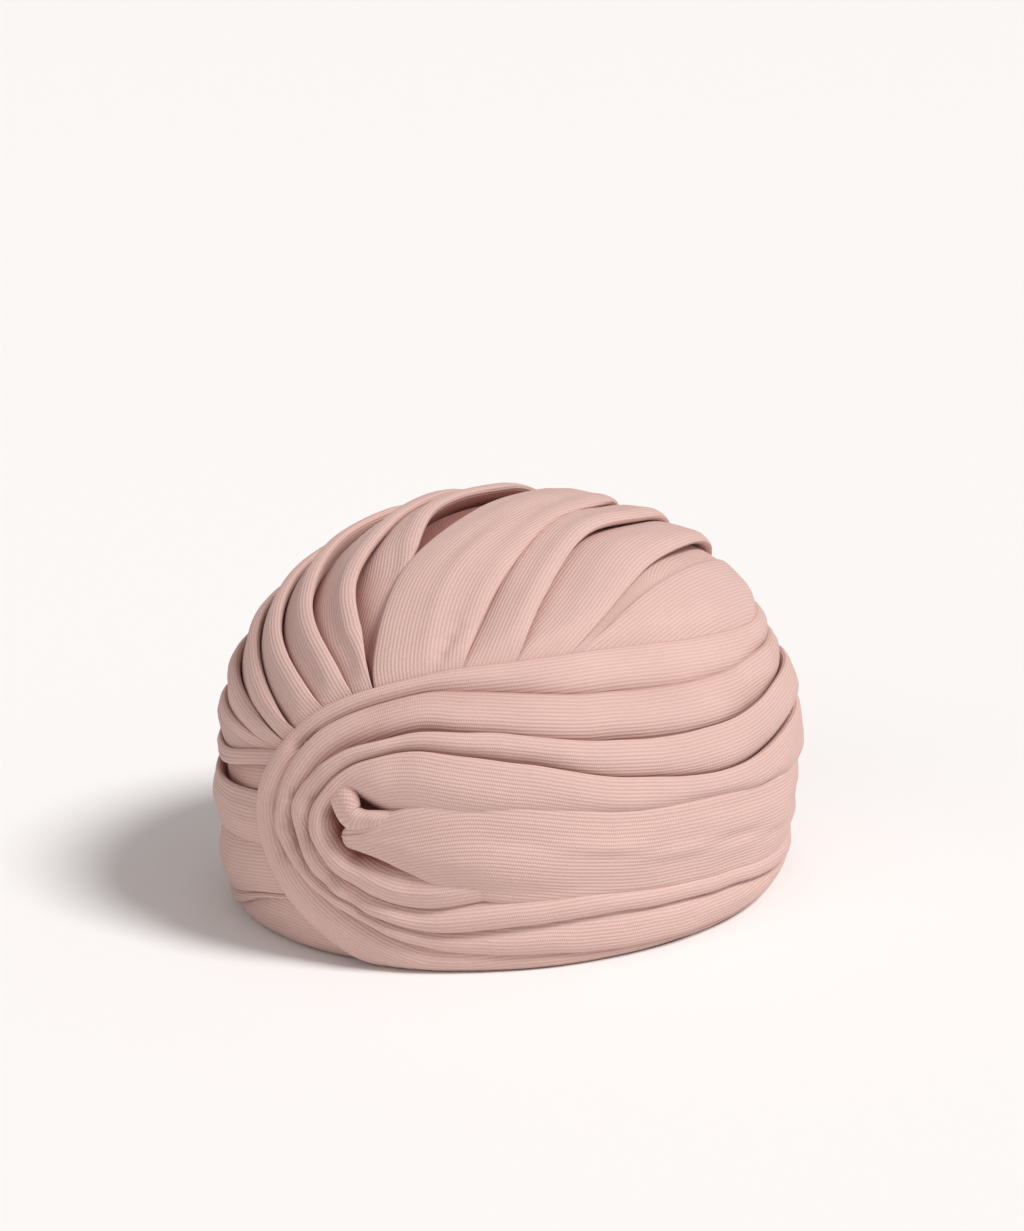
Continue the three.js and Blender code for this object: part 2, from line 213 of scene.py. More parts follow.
# The side band's lines from the top down
BAND_AZIMUTHS = [-180, -140, -100, -60, -30, -10, 15]
BAND_RELIEF = [1, 1, 1, 1, 1, 0.7, 0.4]
BAND_LINES = [
    dict(elevation=[20, 15.5, 10, 6, 5.2, 9, 12], crest=2, valley=-1.4, over=-1),
    dict(elevation=[12.5, 7.6, 4.4, 3, 3, 7, 10], crest=2.4, valley=-0.6, over=1),
    dict(elevation=[9, 4, 1, -0.8, -1, 1, 4], crest=3, valley=-1.6, over=-1),
    dict(elevation=[-1, -5, -8, -9.5, -9.3, -7, -4], crest=3.4, valley=-2.4, over=1),
    dict(elevation=[-13, -15.5, -18, -20.5, -21, -16.2, -11], crest=3.6, valley=-1.4, over=1),
    dict(elevation=[-18, -19.5, -21.5, -23.8, -24, -17.3, -12], crest=3.8, valley=0.2, over=1),
    dict(elevation=[-31, -31, -33, -33, -31, -29, -28], crest=0, valley=3, over=0),
]

# The crown's pleats, by the turn round a pole inside the eye at angles out from it
POLE_AZIMUTH = 20
POLE_ELEVATION = 7
CROWN_REACHES = [14, 25, 45, 70, 95, 130, 165]
CROWN_RELIEF = [0.6, 0.8, 1, 1, 1, 0.8, 0.5]
CROWN_MEAN = 2.2
CROWN_VALLEY = -4.2
CROWN_LINES = [
    dict(turn=[-86, -84, -81, -80, -80, -80, -80], crest=2.2, over=1),
    dict(turn=[-81, -79, -73, -70, -68, -70, -70], crest=3, over=1, ridge=1),
    dict(turn=[-74, -72, -64, -59, -55, -57, -60], crest=3.6, over=1, ridge=1.2),
    dict(turn=[-60, -57, -55, -49, -43, -45, -48], crest=4, over=1, ridge=1.4),
    dict(turn=[-42, -42, -44, -38, -31, -33, -36], crest=4.2, over=1, ridge=1.6),
    dict(turn=[-29, -28, -30, -23, -18, -20, -24], crest=4.2, over=1, ridge=1.8),
    dict(
        turn=[-26.5, -24, -16, -14, -5, -2.5, -8],
        crest=[-3, -3, 0, 4.6, 3.4, 2.4, 2],
        over=1,
        ridge=1,
    ),
    dict(
        turn=[-24.5, -22, -14, -3, 3.5, 0.5, -5.5],
        crest=[2.6, 2.6, 3, 2.4, 1.8, 2, 2],
        over=-1,
        free=True,
    ),
    dict(turn=[16, 15, 13, 14, 17.5, 14, 10], crest=[3.6, 3.6, 3.6, 3.4, 3, 3, 3], over=1, ridge=0.8),
    dict(turn=[40, 36, 26, 23, 28, 28, 24], crest=4.6, over=1, ridge=0.8),
    dict(
        turn=[47, 47, 43, 38.5, 39, 40, 38],
        crest=5.4,
        valley=[1, 1, 0.8, 0, -2, -2, -2],
        over=1,
        ridge=0.6,
    ),
    dict(turn=[51, 50, 46.5, 44.5, 45.5, 47, 48], crest=2.6, valley=1, over=-1),
]
CROWN_COVERED_TURNS = [75, 105, 140, 180, 220, 255]

# The twist in the eye
TWIST_PATH = [[7.4, 6.9], [9.2, 4.1], [10.7, 1.7], [14, 1.6], [18.8, 2.5]]
TWIST_HALF_WIDTH = [4.4, 5.2, 4.6, 3, 2]
TWIST_HEIGHT = [1, 2.3, 2.7, 2.4, 0.8]
TWIST_HALF_THICKNESS = [2.4, 2.9, 2.9, 2.6, 2]
TWIST_SIDES = 28


def direction(azimuth, elevation):
    """Unit vectors from the centre. Azimuth 0 is the front and 90 is the wearer's left."""
    a = np.radians(np.asarray(azimuth, float))
    e = np.radians(np.asarray(elevation, float))
    return np.stack([np.cos(e) * np.sin(a), -np.cos(e) * np.cos(a), np.sin(e) + 0 * a], -1)


def unit(v):
    return v / np.linalg.norm(v, axis=-1, keepdims=True)


def place(d, height):
    """Points in some directions, at heights above the mean surface, in millimetres."""
    rise = np.where(d[..., 2] > 0, RISE, SKIRT)
    normal = np.stack([d[..., 0] / HALF_WIDTH**2, d[..., 1] / HALF_LENGTH**2, d[..., 2] / rise**2], -1)
    reach = 1 / np.sqrt((d * normal).sum(-1))
    return CENTRE + d * reach[..., None] + unit(normal) * np.asarray(height)[..., None]


def between(a, b, part):
    """Directions at a part of the way from a to b."""
    return unit(a + (b - a) * np.asarray(part)[..., None])


def chord(a, b):
    """Straight distances in millimetres between two runs on the mean surface."""
    return np.linalg.norm(place(a, np.zeros(len(a))) - place(b, np.zeros(len(b))), axis=-1)


def run_through(points, steps):
    """Smooth run through a few directions. Step 1.5 is halfway from the second to the third."""
    points = np.asarray(points, float)
    padded = np.vstack([2 * points[0] - points[1], points, 2 * points[-1] - points[-2]])
    first = np.clip(np.floor(steps).astype(int), 0, len(points) - 2)
    w = (steps - first)[:, None]
    a, b, c, d = (padded[first + i] for i in range(4))
    bent = w**2 * (a - 2.5 * b + 2 * c - 0.5 * d) + w**3 * (1.5 * b - 0.5 * a - 1.5 * c + 0.5 * d)
    return unit(b + 0.5 * w * (c - a) + bent)


def value_at(values, steps):
    """Smooth values at steps between the values of a short list."""
    values = np.asarray(values, float)
    first = np.clip(np.floor(steps).astype(int), 0, len(values) - 2)
    w = steps - first
    w = w * w * (3 - 2 * w)
    return values[first] * (1 - w) + values[first + 1] * w


def even_steps(points, spacing):
    """Steps that are evenly spaced in millimetres along a run through some directions."""
    fine = np.linspace(0, len(points) - 1, 80 * (len(points) - 1) + 1)
    track = place(run_through(points, fine), 0 * fine)
    length = np.concatenate([[0], np.cumsum(np.linalg.norm(np.diff(track, axis=0), axis=1))])
    places = np.linspace(0, length[-1], int(length[-1] / spacing) + 1)
    return np.interp(places, length, fine), places


def smoothstep(low, high, value):
    x = np.clip((np.asarray(value, float) - low) / (high - low), 0, 1)
    return x * x * (3 - 2 * x)


def ripple(x, y, seed):
    """Smooth noise from -1 to 1 over two coordinates."""
    grid = np.random.RandomState(seed).uniform(-1, 1, (61, 61))
    x, y = np.broadcast_arrays(np.asarray(x, float), np.asarray(y, float))
    xi, yi = np.floor(x).astype(int), np.floor(y).astype(int)
    fx, fy = x - xi, y - yi
    fx, fy = fx * fx * (3 - 2 * fx), fy * fy * (3 - 2 * fy)

    def at(i, j):
        return grid[(xi + i) % 61, (yi + j) % 61]

    low = at(0, 0) * (1 - fx) + at(1, 0) * fx
    high = at(0, 1) * (1 - fx) + at(1, 1) * fx
    return low * (1 - fy) + high * fy


def bezier(a, b, c, d, u):
    v = 1 - u
    return a * v**3 + 3 * b * v * v * u + 3 * c * v * u * u + d * u**3


class Folds:
    """Columns of a surface that runs across lapped folds, one row of points for each station."""

    def __init__(self, lines, closed, belly, run, seed, wrinkle, power, painted_shade):
        self.lines = lines
        self.closed = closed
        self.count = len(lines)
        self.run = run
        self.power = power
        # Heights between which the painted crease shade fades in
        self.painted_shade = painted_shade
        pairs = self.count if closed else self.count - 1
        self.spans = [chord(lines[i]["at"], lines[(i + 1) % self.count]["at"]) for i in range(pairs)]
        self.dirs = []
        self.heights = []
        self.folds = []
        self.anchors = {}
        self.lips = [self.lip(i) for i in range(self.count)]
        for i in range(self.count):
            self.add_edge(i)
            if i < pairs:
                self.add_face(i, belly[i], seed, wrinkle)
        self.finish_points(seed)

    def neighbours(self, i):
        """Widths of the faces on the two sides of a line."""
        near = []
        if self.closed or i > 0:
            near.append(self.spans[i - 1])
        if self.closed or i < self.count - 1:
            near.append(self.spans[i])
        return near

    def lip(self, i):
        """Setback, nose, tuck, crest, valley and nose height of a line's lip."""
        line = self.lines[i]
        near = self.neighbours(i)
        if line.get("free"):
            near = near[-1:] if line["over"] < 0 else near[:1]
        scale = np.minimum.reduce(near) / FULL_WIDTH
        scale = np.clip(scale, 0.08, 1)
        crest, valley = line["crest"], line["valley"]
        roll = np.minimum(ROLL * np.maximum(scale, 0.3), 0.5 * np.maximum(crest - valley, 0.1))
        tuck = TUCK * scale + line.get("room", 0)
        return SETBACK * scale, NOSE * scale, tuck, crest, valley, crest - roll

    def beyond(self, i, t):
        """Directions at t millimetres past line i."""
        at = self.lines[i]["at"]
        ahead = self.lines[(i + 1) % self.count]["at"]
        behind = self.lines[i - 1]["at"]
        if not self.closed and i == self.count - 1:
            return between(at, behind, -t / self.spans[i - 1])
        if not self.closed and i == 0:
            return between(at, ahead, t / self.spans[0])
        forward = between(at, ahead, t / self.spans[i])
        return np.where((t >= 0)[:, None], forward, between(at, behind, -t / self.spans[i - 1]))

    def add(self, dirs, height, fold):
        self.dirs.append(dirs)
        self.heights.append(height)
        self.folds.append(fold)

    def add_edge(self, i):
        """The columns of a line's lip, from the crest round the nose to the root."""
        over = self.lines[i]["over"]
        setback, nose, tuck, crest, valley, middle = self.lips[i]
        if over == 0:
            self.add(self.lines[i]["at"], valley, max(i - 1, 0))
            return
        drop = crest - middle
        points = []
        for u in (0, 0.3, 0.55, 0.8):
            x = bezier(-setback, -setback + 0.55 * (setback + nose), nose, nose, u)
            points.append((x, bezier(crest, crest, middle + 0.6 * drop, middle, u)))
        for u in (0, 0.18, 0.38, 0.6, 0.8, 1):
            x = bezier(nose, nose, -0.35 * tuck, -tuck, u)
            below = np.maximum(middle - 1.3 * drop, valley)
            points.append((x, bezier(middle, below, valley + 0.45 * (middle - valley), valley, u)))
        fold = i - 1 if over > 0 else i
        if self.closed:
            fold %= self.count
        if over < 0:
            points.reverse()
            self.anchors[fold] = len(self.dirs) + len(points) - 1
        elif fold not in self.anchors:
            self.anchors[fold] = len(self.dirs)
        for x, height in points:
            self.add(self.beyond(i, over * x), height, fold)

    def add_face(self, i, belly, seed, wrinkle):
        """The columns of the cloth between a line's lip and the next one's."""
        j = (i + 1) % self.count
        start, end = self.lines[i]["over"], self.lines[j]["over"]
        a, b = self.lips[i], self.lips[j]
        low = {1: -a[2], -1: a[0], 0: 0 * a[0]}[start]
        high = {1: -b[0], -1: b[2], 0: 0 * b[0]}[end]
        from_height = a[3] if start < 0 else a[4]
        to_height = b[3] if end > 0 else b[4]
        span = self.spans[i]
        power = np.clip(1 + (span - FULL_WIDTH) / CURVE_WIDTH, 1, self.power)
        width = span + high - low
        number = int(np.clip(np.median(span) / STEP, 5, 22))
        for k in range(1, number + 1):
            u = k / (number + 1)
            t = low + width * u
            first = self.beyond(i, t)
            second = self.beyond(j, t - span)
            dirs = np.where((t < 0.5 * span)[:, None], first, second)
            if start >= 0 and end > 0:
                ease = 1 - (1 - u) ** power
            elif start < 0 and end <= 0:
                ease = u**power
            else:
                ease = u
            if start < 0 and end <= 0:
                ridge = self.lines[i].get("ridge", 0)
                back = u * width
                height = from_height - ridge + (to_height - from_height + ridge) * ease
            elif end > 0:
                ridge = self.lines[j].get("ridge", 0)
                back = (1 - u) * width
                height = from_height + (to_height - from_height - ridge) * ease
            else:
                ridge = 0
                back = 0
                height = from_height + (to_height - from_height) * ease
            height = height + ridge * np.exp(-((back / RIDGE_WIDTH) ** 2))
            window = 4 * u * (1 - u)
            height = height + belly * np.minimum(1, span / BELLY_WIDTH) * window
            across = u * span / WRINKLE_WIDTH + 7 * i
            height = height + wrinkle * window * ripple(self.run / WRINKLE_LENGTH, across, seed + i)
            self.add(dirs, height, i)

    def finish_points(self, seed):
        """Joins the columns, adds slow unevenness and keeps the surface as it is before it is sunk."""
        self.dirs = np.stack(self.dirs, 1)
        self.heights = np.stack([h + 0 * self.run for h in self.heights], 1)
        column = np.arange(len(self.folds))
        slow = ripple(self.run[:, None] / WAVE_LENGTH, column[None, :] / 9, seed + 50)
        self.heights = self.heights + WAVE_HEIGHT * slow
        self.plain = self.points()

    def points(self):
        return place(self.dirs, self.heights)

    def weave(self):
        """Run length, distance from the fold's crest and the share of painted crease shade, which grows
        with depth in the creases, at every point.
        """
        steps = np.linalg.norm(np.diff(self.plain, axis=1), axis=2)
        arcs = np.concatenate([np.zeros((len(self.plain), 1)), np.cumsum(steps, axis=1)], 1)
        out = np.zeros(self.plain.shape)
        for column, fold in enumerate(self.folds):
            anchor = self.anchors.get(fold, 0)
            track = self.plain[:, anchor]
            along = np.concatenate([[0], np.cumsum(np.linalg.norm(np.diff(track, axis=0), axis=1))])
            out[:, column, 0] = along
            out[:, column, 1] = arcs[:, column] - arcs[:, anchor]
            # Share of painted crease shade: none at the first height, full at the second, lower one
            out[:, column, 2] = smoothstep(self.painted_shade[0], self.painted_shade[1], self.heights[:, column])
        return out


def grid_quads(rows, columns):
    """Faces between rows of points, with each row closed into a ring."""
    near = np.arange(columns)
    far = (near + 1) % columns
    base = np.arange(rows - 1)[:, None] * columns
    quads = np.stack([base + near, base + far, base + far + columns, base + near + columns], -1)
    return quads.reshape(-1, 4)


def tube_faces(points):
    """Faces of a tube with an end face at its first and its last row."""
    rows, columns = points.shape[:2]
    faces = list(grid_quads(rows, columns))
    faces.append(np.arange(columns)[::-1])
    faces.append((rows - 1) * columns + np.arange(columns))
    return faces


def mesh_object(name, points, faces, weave):
    """A smooth closed mesh with the cloth's coordinates and its painted crease shade kept on its points.
    Sizes come in millimetres.
    """
    points = points.reshape(-1, 3) / 1000
    corners = np.array([[f[0], f[k], f[k + 1]] for f in faces for k in range(1, len(f) - 1)])
    a, b, c = (points[corners[:, k]] for k in range(3))
    outward = (a * np.cross(b, c)).sum() > 0
    turned = [list(map(int, face if outward else face[::-1])) for face in faces]
    mesh = bpy.data.meshes.new(name)
    mesh.from_pydata(points.tolist(), [], turned)
    mesh.update()
    attribute = mesh.attributes.new("weave", "FLOAT_VECTOR", "POINT")
    attribute.data.foreach_set("vector", weave.reshape(-1).astype(np.float32))
    mesh.polygons.foreach_set("use_smooth", [True] * len(mesh.polygons))
    piece = bpy.data.objects.new(name, mesh)
    bpy.context.scene.collection.objects.link(piece)
    return piece


def inside_by(dirs, loop):
    """How far directions lie inside a closed loop of azimuth and elevation, in degrees."""
    azimuth = np.degrees(np.arctan2(dirs[..., 0], -dirs[..., 1])).ravel()
    elevation = np.degrees(np.arcsin(np.clip(dirs[..., 2], -1, 1))).ravel()
    nearest = np.full(azimuth.shape, 1e9)
    crossings = np.zeros(azimuth.shape, int)
    squeeze = np.cos(np.radians(elevation))
    for (ax, ay), (bx, by) in zip(loop, np.roll(loop, -1, axis=0)):
        sx, sy = (bx - ax) * squeeze, by - ay
        px, py = (azimuth - ax) * squeeze, elevation - ay
        part = np.clip((px * sx + py * sy) / (sx * sx + sy * sy + 1e-12), 0, 1)
        nearest = np.minimum(nearest, np.hypot(px - part * sx, py - part * sy))
        straddles = (ay > elevation) != (by > elevation)
        meets = ax + (elevation - ay) / (by - ay + 1e-12) * (bx - ax)
        crossings += straddles & (azimuth < meets)
    return np.where(crossings % 2 == 1, nearest, -nearest).reshape(dirs.shape[:-1])


def azimuth_elevation(dirs):
    """Azimuth and elevation of directions, in degrees."""
    azimuth = np.degrees(np.arctan2(dirs[:, 0], -dirs[:, 1]))
    return np.stack([azimuth, np.degrees(np.arcsin(dirs[:, 2]))], 1)


def wrap_dirs(row):
    """A line of the wrap: along the upper arm, round the bend and back along the lower arm."""
    upper = direction(ARM_AZIMUTHS, row["upper"])
    lower = direction(ARM_AZIMUTHS, row["lower"])[::-1]
    return np.vstack([upper, direction(*np.transpose(row["bend"])), lower])


def loop_of(dirs):
    """A fine loop of azimuth and elevation, with azimuths that run on past the centre back."""
    steps = np.linspace(0, len(dirs) - 1, 12 * (len(dirs) - 1) + 1)
    loop = azimuth_elevation(run_through(dirs, steps))
    loop[:, 0] = np.where(loop[:, 0] < -90, loop[:, 0] + 360, loop[:, 0])
    return loop


def cover_loops():
    """What the wrap covers and what the band covers, as closed loops of azimuth and elevation."""
    wrap = loop_of(wrap_dirs(WRAP_LINES[0]))
    wrap = np.vstack([wrap, [[200, -40], [200, 20]]])
    top = direction(BAND_AZIMUTHS, BAND_LINES[0]["elevation"])
    edge = azimuth_elevation(run_through(top, np.linspace(0, len(top) - 1, 60)))
    edge[0, 0] = -180
    band = np.vstack([[[-200, 20]], edge, [[15, -80], [-200, -80]]])
    return wrap, band


WRAP_COVER, BAND_COVER = cover_loops()


def capped(height, inside, level, slope):
    """Heights that dip smoothly to a level where a neighbour's lip lies on them."""
    cap = level + slope * np.maximum(-inside, 0)
    over = height - cap
    return height - np.where(over > -1, 0.5 * (over + np.sqrt(over * over + 0.6)), 0)


def hem(points, outer):
    """Rolls the lower edge in: outer is 1 on the outside of the cloth and 0 on its back."""
    azimuth = np.arctan2(points[..., 0], -points[..., 1])
    floor = 0.25 * (1 + np.sin(7 * azimuth) * np.cos(4 * azimuth + 1))
    z = np.maximum(points[..., 2], floor)
    left = np.clip(HEM_RADIUS - z, 0, HEM_RADIUS)
    inward = (HEM_RADIUS - np.sqrt(HEM_RADIUS**2 - left**2)) * outer
    away = unit(np.stack([points[..., 0] / HALF_WIDTH**2, points[..., 1] / HALF_LENGTH**2], -1))
    moved = points.copy()
    moved[..., 0] -= away[..., 0] * inward
    moved[..., 1] -= away[..., 1] * inward
    moved[..., 2] = z
    return moved


def lapped_piece(name, folds):
    """A closed piece from the folds in front and a plain back."""
    front = folds.points()
    weave = folds.weave()
    back_lines = [line["at"] for line in folds.lines][::-1]
    back = np.stack([place(at, np.full(len(at), BACKING)) for at in back_lines], 1)
    back_weave = np.zeros(back.shape)
    back_weave[..., 0] = folds.run[:, None]
    back_weave[..., 1] = np.arange(len(back_lines))[None, :] * 9.0
    outer = smoothstep(OUTER_FROM, OUTER_TO, folds.heights)
    front = hem(front, outer)
    back = hem(back, np.zeros(back.shape[:2]))
    points = np.concatenate([front, back], 1)
    weave = np.concatenate([weave, back_weave], 1)
    return mesh_object(name, points, tube_faces(points), weave)


def pinched(heights, distance):
    """Heights that tuck in near the centre back seam, by the distance from it."""
    near = 1 - smoothstep(0, SEAM_REACH, distance)
    return heights * (1 - SEAM_SHARE * near) - SEAM_DEPTH * near


def dent(folds, table):
    """Presses dents into single folds."""
    columns = np.array(folds.folds)
    base = place(folds.dirs, np.full(folds.heights.shape, DENT_HEIGHT))
    for fold, azimuth, elevation, radius, depth in table:
        centre = place(direction([azimuth], [elevation]), np.array([DENT_HEIGHT]))[0]
        gap = np.linalg.norm(base - centre, axis=-1)
        folds.heights = folds.heights - depth * np.exp(-((gap / radius) ** 2)) * (columns == fold)


def make_wrap():
    """The folded strip from the centre back, round the eye and back again."""
    dirs = [wrap_dirs(row) for row in WRAP_LINES]
    steps, run = even_steps(dirs[2], STEP)
    shoulder = len(ARM_AZIMUTHS) - 1
    part = np.clip((steps - shoulder) / 2, 0, 2)
    # The bend is 1 round the eye and 0 along the arms
    bend = smoothstep(5, 6.5, steps) * (1 - smoothstep(9.5, 11, steps))
    tracks = [run_through(d, steps) for d in dirs]
    lines = []
    for i, row in enumerate(WRAP_LINES):
        at = tracks[i]
        # Inner lines waver a little along the arms and more round the bend
        if 0 < i < len(WRAP_LINES) - 1:
            shift = (0.35 + 0.5 * bend) * ripple(run / 13, 5 * i, 14)
            at = between(at, tracks[i + 1], shift / chord(at, tracks[i + 1]))
        wander = 0.3 * ripple(run / 31, 3 * i, 11) + 0.7 * bend * ripple(run / 9, 3 * i, 12)
        if i == SINKING_LINE:
            wander = wander - SINKING_DEPTH * smoothstep(*SINKING_STEPS, steps)
        lines.append(
            dict(
                at=at,
                crest=value_at(row["crest"], part) + wander * (i > 0),
                valley=row["valley"] + 0 * run,
                over=0 if i == len(WRAP_LINES) - 1 else -1,
                ridge=0.5,
            )
        )
    belly = [0.8, 1.0, 1.5, 1.2]
    folds = Folds(lines, False, belly, run, seed=21, wrinkle=0.8, power=3.2, painted_shade=(3.6, -1.6))
    dent(folds, WRAP_DENTS)
    folds.heights = pinched(folds.heights, np.minimum(run, run[-1] - run)[:, None])
    return lapped_piece("front_wrap_folds", folds)


def make_band():
    """The side band, which sinks where the wrap covers it."""
    steps, run = even_steps(direction(BAND_AZIMUTHS, BAND_LINES[3]["elevation"]), STEP)
    relief = value_at(BAND_RELIEF, steps)
    lines = []
    for i, row in enumerate(BAND_LINES):
        dirs = direction(BAND_AZIMUTHS, row["elevation"])
        wander = 0.3 * ripple(run / 27, 3 * i, 12)
        lines.append(
            dict(
                at=run_through(dirs, steps),
                crest=relief * (row["crest"] + wander),
                valley=relief * row["valley"],
                over=row["over"],
            )
        )
    belly = [0.3, 0.4, 1.2, 1.4, 0.4, 0.4]
    folds = Folds(lines, False, belly, run, seed=31, wrinkle=0.6, power=1.8, painted_shade=(0.8, -2.4))
    inside = inside_by(folds.dirs, WRAP_COVER)
    heights = capped(folds.heights, inside, level=1.2, slope=0.8)
    sink = smoothstep(1.5, 5, inside)
    folds.heights = heights * (1 - sink) + (BACKING + 0.4) * sink
    folds.heights = pinched(folds.heights, run[:, None])
    return lapped_piece("side_band_folds", folds)


def pole_directions(reaches, turns):
    """Directions at angles out from the crown's pole, and turned round it from straight up."""
    pole = direction(POLE_AZIMUTH, POLE_ELEVATION)
    up = unit(np.array([0, 0, 1.0]) - pole * pole[2])
    side = np.cross(up, pole)
    r, t = np.radians(np.asarray(reaches, float)), np.radians(np.asarray(turns, float))
    rim = np.cos(t)[..., None] * up + np.sin(t)[..., None] * side
    return np.cos(r)[..., None] * pole + np.sin(r)[..., None] * rim


def by_reach(value, steps):
    """A number, or a list of values at the crown's reaches, at each step."""
    return value_at(value, steps) if isinstance(value, list) else value + 0 * steps


def make_crown():
    """The pleated dome, which sinks where the wrap and the band cover it."""
    centre_line = pole_directions(CROWN_REACHES, [0] * len(CROWN_REACHES))
    steps, run = even_steps(centre_line, CROWN_STEP)
    relief = value_at(CROWN_RELIEF, steps)
    covered = [dict(turn=[turn] * len(CROWN_REACHES), crest=0, over=0) for turn in CROWN_COVERED_TURNS]
    rows = CROWN_LINES + covered
    lines = []
    for i, row in enumerate(rows):
        wander = 0.3 * ripple(run / 29, 3 * i, 13)
        over = row["over"]
        valley = row.get("valley", CROWN_VALLEY) if over else 0
        lines.append(
            dict(
                at=run_through(pole_directions(CROWN_REACHES, row["turn"]), steps),
                crest=CROWN_MEAN + relief * (by_reach(row["crest"], steps) + wander),
                valley=CROWN_MEAN + relief * by_reach(valley, steps),
                over=over,
                room=4.0 * smoothstep(1.6, 3, steps),
                ridge=relief * row.get("ridge", 0),
                free=row.get("free", False),
            )
        )
    belly = [0.6] * len(rows)
    folds = Folds(lines, True, belly, run, seed=41, wrinkle=0.6, power=1.35, painted_shade=(2.0, -2.6))
    dent(folds, CROWN_DENTS)
    under_wrap = inside_by(folds.dirs, WRAP_COVER)
    under_band = inside_by(folds.dirs, BAND_COVER)
    heights = capped(folds.heights, under_wrap, level=1.6, slope=0.9)
    heights = capped(heights, under_band, level=0.2, slope=0.9)
    sink = np.maximum(smoothstep(1.5, 5, under_wrap), smoothstep(1.5, 5, under_band))
    folds.heights = heights * (1 - sink) + CROWN_UNDER * sink
    points = folds.points()
    weave = folds.weave()
    count = points.shape[1]
    tips = [place(pole_directions([r], [0.0]), np.array([CROWN_UNDER]))[0] for r in (0, 180)]
    vertices = np.vstack([points.reshape(-1, 3), tips])
    faces = [list(face) for face in grid_quads(len(points), count)]
    last = (len(points) - 1) * count
    for k in range(count):
        following = (k + 1) % count
        faces.append([len(vertices) - 2, following, k])
        faces.append([len(vertices) - 1, last + k, last + following])
    weave = np.vstack([weave.reshape(-1, 3), np.zeros((2, 3))])
    piece = mesh_object("crown_pleats", vertices, faces, weave)
    close_rim(piece)
    return piece


def close_rim(piece):
    """Cuts the crown off at the rim and gives it a smooth inside."""
    work = bmesh.new()
    work.from_mesh(piece.data)
    layer = work.verts.layers.float_vector["weave"]
    geometry = list(work.verts) + list(work.edges) + list(work.faces)
    cut = Vector((0, 0, RIM_HEIGHT / 1000))
    bmesh.ops.bisect_plane(work, geom=geometry, plane_co=cut, plane_no=(0, 0, 1), clear_inner=True)
    outer_edges = [edge for edge in work.edges if edge.is_boundary]
    low = -np.degrees(np.arctan2(WAIST_HEIGHT - RIM_HEIGHT, RIM_RADIUS))
    rings = []
    for r in range(INSIDE_ROWS + 1):
        ring = []
        elevation = low + (INSIDE_TOP - low) * r / INSIDE_ROWS
        for s in range(INSIDE_SIDES):
            azimuth = 360 * s / INSIDE_SIDES
            spot = place(direction([azimuth], [elevation]), np.array([HEAD_FACE]))[0]
            if r == 0:
                spot[2] = RIM_HEIGHT
            vert = work.verts.new((spot / 1000).tolist())
            vert[layer] = Vector((azimuth * 1.7, elevation * 1.7, 0))
            ring.append(vert)
        rings.append(ring)
    for here, above in zip(rings, rings[1:]):
        for s in range(INSIDE_SIDES):
            n = (s + 1) % INSIDE_SIDES
            work.faces.new((here[s], above[s], above[n], here[n]))
    work.faces.new(rings[-1])
    work.edges.index_update()
    first = rings[0]
    inner_edges = [work.edges.get((first[s - 1], first[s])) for s in range(INSIDE_SIDES)]
    bmesh.ops.bridge_loops(work, edges=outer_edges + inner_edges)
    bmesh.ops.recalc_face_normals(work, faces=list(work.faces))
    for face in work.faces:
        face.smooth = True
    work.to_mesh(piece.data)
    work.free()


def cushion_piece(name, upper, lower, edge, belly, run, bottom, seed, wrinkle):
    """A closed cushion between two runs of directions, with rolled edges."""
    width = chord(upper, lower)
    scale = np.clip(width / FULL_WIDTH, 0.15, 1)
    low = edge - ROLL * scale
    columns = []
    for u in (0, 0.5, 0.85, 1):
        columns.append((-NOSE * scale, bottom + (low - bottom) * u))
    for u in (0.3, 0.6, 0.85):
        x = bezier(-NOSE * scale, -NOSE * scale, -0.3 * scale, SETBACK * scale, u)
        columns.append((x, bezier(low, edge - 0.4 * scale, edge, edge, u)))
    side = len(columns)
    for k in range(BROAD_COLUMNS + 1):
        u = k / BROAD_COLUMNS
        t = SETBACK * scale + (width - 2 * SETBACK * scale) * u
        window = 4 * u * (1 - u)
        ridges = ripple(run / 30, u * width / 5 + 3, seed) * window
        columns.append((t, edge + (belly - edge) * window + wrinkle * ridges))
    columns += [(width - x, height) for x, height in columns[:side]][::-1]
    across = np.stack([x + 0 * width for x, _ in columns], 1)
    heights = np.stack([height + 0 * width for _, height in columns], 1)
    points = place(between(upper[:, None], lower[:, None], across / width[:, None]), heights)
    tops = smoothstep(OUTER_FROM, OUTER_TO, heights)
    steps = np.linalg.norm(np.diff(points, axis=1), axis=2)
    arcs = np.concatenate([np.zeros((len(points), 1)), np.cumsum(steps, axis=1)], 1)
    weave = np.zeros(points.shape)
    weave[..., 0] = run[:, None]
    weave[..., 1] = arcs - arcs[:, [side]]
    # Painted crease shade on the edges that turn down under the cushion
    weave[..., 2] = 1 - tops
    return mesh_object(name, hem(points, tops), tube_faces(points), weave)


